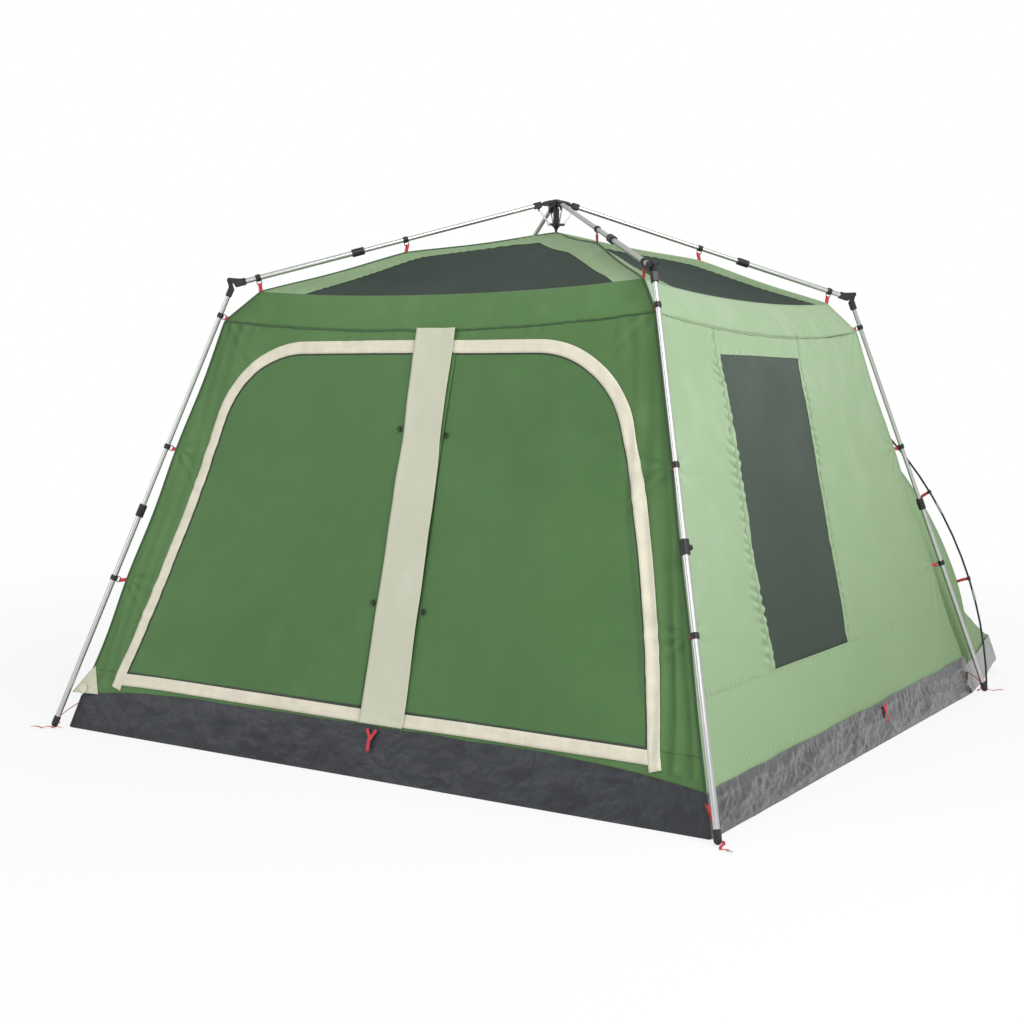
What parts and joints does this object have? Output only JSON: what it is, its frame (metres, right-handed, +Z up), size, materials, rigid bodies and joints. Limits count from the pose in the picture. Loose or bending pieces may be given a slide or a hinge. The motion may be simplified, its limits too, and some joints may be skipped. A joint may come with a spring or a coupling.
{
  "type": "pop up tent",
  "caption": "Pop-up cabin tent with a folding telescopic frame outside the fabric, twin front doors, side windows, a tub floor and a rear bay on an arch pole.",
  "frame": {"origin": "on the ground, midway between the four feet, on the underside of the floor", "axes": "+Z up, +Y to the rear bay, +X to the right of someone who looks along +Y"},
  "size_m": [2.9198, 3.4899, 2.102],
  "materials": {
    "aluminium_tube": "satin",
    "strut_metal": "satin",
    "black_plastic": "matte",
    "black_fibreglass": "satin",
    "green_fabric": "woven polyester",
    "sage_fabric": "woven polyester",
    "tub_fabric": "coated, crinkled",
    "dark_mesh": "fine mesh",
    "cream_tape": "woven tape",
    "red_webbing": "webbing",
    "zip_teeth": "moulded",
    "steel_pin": "brushed"
  },
  "bodies": {
    "tent_body": {"floor_tub": "tub_fabric", "roof_canopy": "sage_fabric", "wall_front": "green_fabric", "wall_right": "sage_fabric", "wall_rear": "sage_fabric", "wall_left": "sage_fabric", "rear_bay": "sage_fabric"},
    "door_left": {"door_left": "green_fabric"},
    "door_right": {"door_right": "green_fabric"},
    "arch_pole": {"rear_arch_pole": "black_fibreglass"},
    "hub": {"hub_top": "black_plastic"},
    "slider": {"hub_slider": "black_plastic"},
    "roof_pole_front_right": {"knuckle_front_right": "black_plastic", "roof_tube_inner_front_right": "aluminium_tube"},
    "strut_front_right": {"strut_front_right": "strut_metal"},
    "roof_slide_front_right": {"roof_tube_outer_front_right": "aluminium_tube", "roof_collar_front_right": "black_plastic", "elbow_roof_bracket_front_right": "black_plastic"},
    "leg_front_right": {"elbow_leg_bracket_front_right": "black_plastic", "leg_tube_upper_front_right": "aluminium_tube"},
    "leg_slide_front_right": {"leg_tube_lower_front_right": "aluminium_tube", "leg_collar_front_right": "black_plastic", "foot_front_right": "black_plastic"},
    "button_front_right": {"leg_button_front_right": "black_plastic"},
    "roof_pole_rear_right": {"knuckle_rear_right": "black_plastic", "roof_tube_inner_rear_right": "aluminium_tube"},
    "strut_rear_right": {"strut_rear_right": "strut_metal"},
    "roof_slide_rear_right": {"roof_tube_outer_rear_right": "aluminium_tube", "roof_collar_rear_right": "black_plastic", "elbow_roof_bracket_rear_right": "black_plastic"},
    "leg_rear_right": {"elbow_leg_bracket_rear_right": "black_plastic", "leg_tube_upper_rear_right": "aluminium_tube"},
    "leg_slide_rear_right": {"leg_tube_lower_rear_right": "aluminium_tube", "leg_collar_rear_right": "black_plastic", "foot_rear_right": "black_plastic"},
    "button_rear_right": {"leg_button_rear_right": "black_plastic"},
    "roof_pole_rear_left": {"knuckle_rear_left": "black_plastic", "roof_tube_inner_rear_left": "aluminium_tube"},
    "strut_rear_left": {"strut_rear_left": "strut_metal"},
    "roof_slide_rear_left": {"roof_tube_outer_rear_left": "aluminium_tube", "roof_collar_rear_left": "black_plastic", "elbow_roof_bracket_rear_left": "black_plastic"},
    "leg_rear_left": {"elbow_leg_bracket_rear_left": "black_plastic", "leg_tube_upper_rear_left": "aluminium_tube"},
    "leg_slide_rear_left": {"leg_tube_lower_rear_left": "aluminium_tube", "leg_collar_rear_left": "black_plastic", "foot_rear_left": "black_plastic"},
    "button_rear_left": {"leg_button_rear_left": "black_plastic"},
    "roof_pole_front_left": {"knuckle_front_left": "black_plastic", "roof_tube_inner_front_left": "aluminium_tube"},
    "strut_front_left": {"strut_front_left": "strut_metal"},
    "roof_slide_front_left": {"roof_tube_outer_front_left": "aluminium_tube", "roof_collar_front_left": "black_plastic", "elbow_roof_bracket_front_left": "black_plastic"},
    "leg_front_left": {"elbow_leg_bracket_front_left": "black_plastic", "leg_tube_upper_front_left": "aluminium_tube"},
    "leg_slide_front_left": {"leg_tube_lower_front_left": "aluminium_tube", "leg_collar_front_left": "black_plastic", "foot_front_left": "black_plastic"},
    "button_front_left": {"leg_button_front_left": "black_plastic"}
  },
  "joints": [
    {"name": "hub_height", "type": "slide", "parent": "tent_body", "child": "hub", "axis": [0, 0, -1], "range_m": [0, 1.065]},
    {"name": "slider_run", "type": "slide", "parent": "hub", "child": "slider", "axis": [0, 0, -1], "range_m": [0, 0.01666]},
    {"name": "frame_fold", "type": "hinge", "parent": "hub", "child": "roof_pole_front_right", "pos_m": [0.03535, -0.03535, 2.083], "axis": [0.7071, 0.7071, 0], "range_deg": [0, 72.18], "deforming": ["roof_canopy", "wall_front", "wall_right", "wall_rear", "wall_left", "rear_bay"]},
    {"name": "strut_swing_front_right", "type": "hinge", "parent": "roof_pole_front_right", "child": "strut_front_right", "pos_m": [0.05089, -0.05089, 2.05599], "axis": [-0.7071, -0.7071, 0], "range_deg": [0, 109.62]},
    {"name": "roof_telescope_front_right", "type": "slide", "parent": "roof_pole_front_right", "child": "roof_slide_front_right", "axis": [-0.6803, 0.6803, 0.2726], "range_m": [0, 0.403]},
    {"name": "elbow_front_right", "type": "hinge", "parent": "roof_slide_front_right", "child": "leg_front_right", "pos_m": [0.92951, -0.92951, 1.74558], "axis": [-0.7071, -0.7071, 0], "range_deg": [0, 233.12]},
    {"name": "leg_telescope_front_right", "type": "slide", "parent": "leg_front_right", "child": "leg_slide_front_right", "axis": [-0.2657, 0.2657, 0.9267], "range_m": [0, 0.705]},
    {"name": "lock_button_front_right", "type": "slide", "parent": "leg_slide_front_right", "child": "button_front_right", "axis": [-0.7071, -0.7071, 0], "range_m": [0, 0.0025], "stiffness_N_per_m": 900},
    {"name": "roof_fold_rear_right", "type": "hinge", "parent": "hub", "child": "roof_pole_rear_right", "pos_m": [0.03535, 0.03535, 2.083], "axis": [-0.7071, 0.7071, 0], "range_deg": [0, 72.48]},
    {"name": "strut_swing_rear_right", "type": "hinge", "parent": "roof_pole_rear_right", "child": "strut_rear_right", "pos_m": [0.05089, 0.05089, 2.05599], "axis": [0.7071, -0.7071, 0], "range_deg": [0, 109.62]},
    {"name": "roof_telescope_rear_right", "type": "slide", "parent": "roof_pole_rear_right", "child": "roof_slide_rear_right", "axis": [-0.6803, -0.6803, 0.2726], "range_m": [0, 0.403]},
    {"name": "elbow_rear_right", "type": "hinge", "parent": "roof_slide_rear_right", "child": "leg_rear_right", "pos_m": [0.92951, 0.92951, 1.74558], "axis": [0.7071, -0.7071, 0], "range_deg": [0, 233.12]},
    {"name": "leg_telescope_rear_right", "type": "slide", "parent": "leg_rear_right", "child": "leg_slide_rear_right", "axis": [-0.2657, -0.2657, 0.9267], "range_m": [0, 0.705]},
    {"name": "lock_button_rear_right", "type": "slide", "parent": "leg_slide_rear_right", "child": "button_rear_right", "axis": [0.7071, -0.7071, 0], "range_m": [0, 0.0025], "stiffness_N_per_m": 900},
    {"name": "roof_fold_rear_left", "type": "hinge", "parent": "hub", "child": "roof_pole_rear_left", "pos_m": [-0.03535, 0.03535, 2.083], "axis": [-0.7071, -0.7071, 0], "range_deg": [0, 72.48]},
    {"name": "strut_swing_rear_left", "type": "hinge", "parent": "roof_pole_rear_left", "child": "strut_rear_left", "pos_m": [-0.05089, 0.05089, 2.05599], "axis": [0.7071, 0.7071, 0], "range_deg": [0, 109.62]},
    {"name": "roof_telescope_rear_left", "type": "slide", "parent": "roof_pole_rear_left", "child": "roof_slide_rear_left", "axis": [0.6803, -0.6803, 0.2726], "range_m": [0, 0.403]},
    {"name": "elbow_rear_left", "type": "hinge", "parent": "roof_slide_rear_left", "child": "leg_rear_left", "pos_m": [-0.92951, 0.92951, 1.74558], "axis": [0.7071, 0.7071, 0], "range_deg": [0, 233.12]},
    {"name": "leg_telescope_rear_left", "type": "slide", "parent": "leg_rear_left", "child": "leg_slide_rear_left", "axis": [0.2657, -0.2657, 0.9267], "range_m": [0, 0.705]},
    {"name": "lock_button_rear_left", "type": "slide", "parent": "leg_slide_rear_left", "child": "button_rear_left", "axis": [0.7071, 0.7071, 0], "range_m": [0, 0.0025], "stiffness_N_per_m": 900},
    {"name": "roof_fold_front_left", "type": "hinge", "parent": "hub", "child": "roof_pole_front_left", "pos_m": [-0.03535, -0.03535, 2.083], "axis": [0.7071, -0.7071, 0], "range_deg": [0, 72.48]},
    {"name": "strut_swing_front_left", "type": "hinge", "parent": "roof_pole_front_left", "child": "strut_front_left", "pos_m": [-0.05089, -0.05089, 2.05599], "axis": [-0.7071, 0.7071, 0], "range_deg": [0, 109.62]},
    {"name": "roof_telescope_front_left", "type": "slide", "parent": "roof_pole_front_left", "child": "roof_slide_front_left", "axis": [0.6803, 0.6803, 0.2726], "range_m": [0, 0.403]},
    {"name": "elbow_front_left", "type": "hinge", "parent": "roof_slide_front_left", "child": "leg_front_left", "pos_m": [-0.92951, -0.92951, 1.74558], "axis": [-0.7071, 0.7071, 0], "range_deg": [0, 233.12]},
    {"name": "leg_telescope_front_left", "type": "slide", "parent": "leg_front_left", "child": "leg_slide_front_left", "axis": [0.2657, 0.2657, 0.9267], "range_m": [0, 0.705]},
    {"name": "lock_button_front_left", "type": "slide", "parent": "leg_slide_front_left", "child": "button_front_left", "axis": [-0.7071, 0.7071, 0], "range_m": [0, 0.0025], "stiffness_N_per_m": 900},
    {"name": "arch_tilt", "type": "hinge", "parent": "tent_body", "child": "arch_pole", "pos_m": [0, 1.445, 0.022], "axis": [-1, 0, 0], "range_deg": [0, 95.5]},
    {"name": "door_left_swing", "type": "hinge", "parent": "tent_body", "child": "door_left", "pos_m": [0.006, -1.31211, 0.20761], "axis": [0.0061, 0.2599, 0.9656], "range_deg": [0, 85]},
    {"name": "door_right_swing", "type": "hinge", "parent": "tent_body", "child": "door_right", "pos_m": [0.184, -1.31211, 0.20761], "axis": [0.0061, -0.2599, -0.9656], "range_deg": [0, 85]}
  ],
  "couplings": [
    {"joint": "hub_height", "follows": "frame_fold", "m_per_rad": 0.84137},
    {"joint": "slider_run", "follows": "frame_fold", "m_per_rad": 0.012427},
    {"joint": "strut_swing_front_right", "follows": "frame_fold", "ratio": 1.5047},
    {"joint": "roof_telescope_front_right", "follows": "frame_fold", "m_per_rad": 0.3175},
    {"joint": "elbow_front_right", "follows": "frame_fold", "ratio": 3.2156},
    {"joint": "leg_telescope_front_right", "follows": "frame_fold", "m_per_rad": 0.55562},
    {"joint": "roof_fold_rear_right", "follows": "frame_fold", "ratio": 1},
    {"joint": "strut_swing_rear_right", "follows": "frame_fold", "ratio": 1.5047},
    {"joint": "roof_telescope_rear_right", "follows": "frame_fold", "m_per_rad": 0.3175},
    {"joint": "elbow_rear_right", "follows": "frame_fold", "ratio": 3.2156},
    {"joint": "leg_telescope_rear_right", "follows": "frame_fold", "m_per_rad": 0.55562},
    {"joint": "roof_fold_rear_left", "follows": "frame_fold", "ratio": 1},
    {"joint": "strut_swing_rear_left", "follows": "frame_fold", "ratio": 1.5047},
    {"joint": "roof_telescope_rear_left", "follows": "frame_fold", "m_per_rad": 0.3175},
    {"joint": "elbow_rear_left", "follows": "frame_fold", "ratio": 3.2156},
    {"joint": "leg_telescope_rear_left", "follows": "frame_fold", "m_per_rad": 0.55562},
    {"joint": "roof_fold_front_left", "follows": "frame_fold", "ratio": 1},
    {"joint": "strut_swing_front_left", "follows": "frame_fold", "ratio": 1.5047},
    {"joint": "roof_telescope_front_left", "follows": "frame_fold", "m_per_rad": 0.3175},
    {"joint": "elbow_front_left", "follows": "frame_fold", "ratio": 3.2156},
    {"joint": "leg_telescope_front_left", "follows": "frame_fold", "m_per_rad": 0.55562},
    {"joint": "arch_tilt", "follows": "frame_fold", "ratio": 1.3161}
  ]
}
